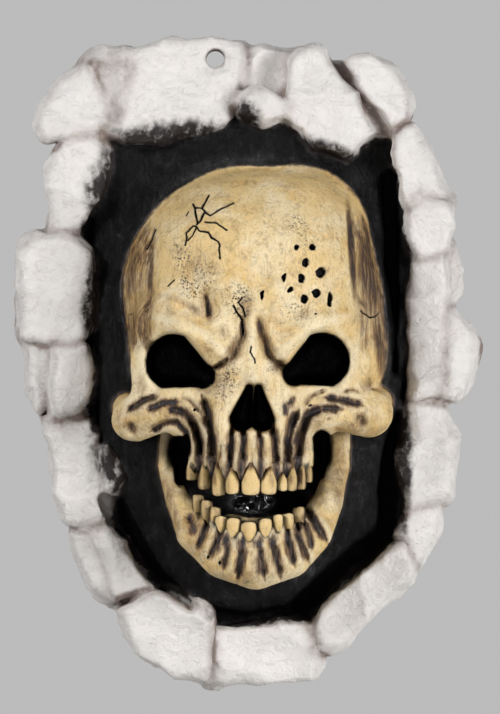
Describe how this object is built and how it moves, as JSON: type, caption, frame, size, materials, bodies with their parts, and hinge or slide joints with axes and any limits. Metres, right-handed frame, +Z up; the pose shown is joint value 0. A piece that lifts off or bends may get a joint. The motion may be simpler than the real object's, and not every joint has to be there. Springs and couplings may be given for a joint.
{
  "type": "skull wall decoration",
  "caption": "Wall plaque of a grinning skull that breaks out of a dark hole with a rim of broken plaster, hung from a hole near its top edge.",
  "frame": {"origin": "centre of the hanging hole, in the plane of the flat back", "axes": "+Z up the wall, +Y into the wall so that the face looks along -Y, +X to the right of someone who looks at the face"},
  "size_m": [0.3245, 0.1251, 0.4619],
  "materials": {
    "painted_latex": "matt airbrushed paint: off-white rim, charcoal surround, bone-coloured skull"
  },
  "bodies": {
    "root": {"skull_wall_casting": "painted_latex"}
  },
  "joints": []
}
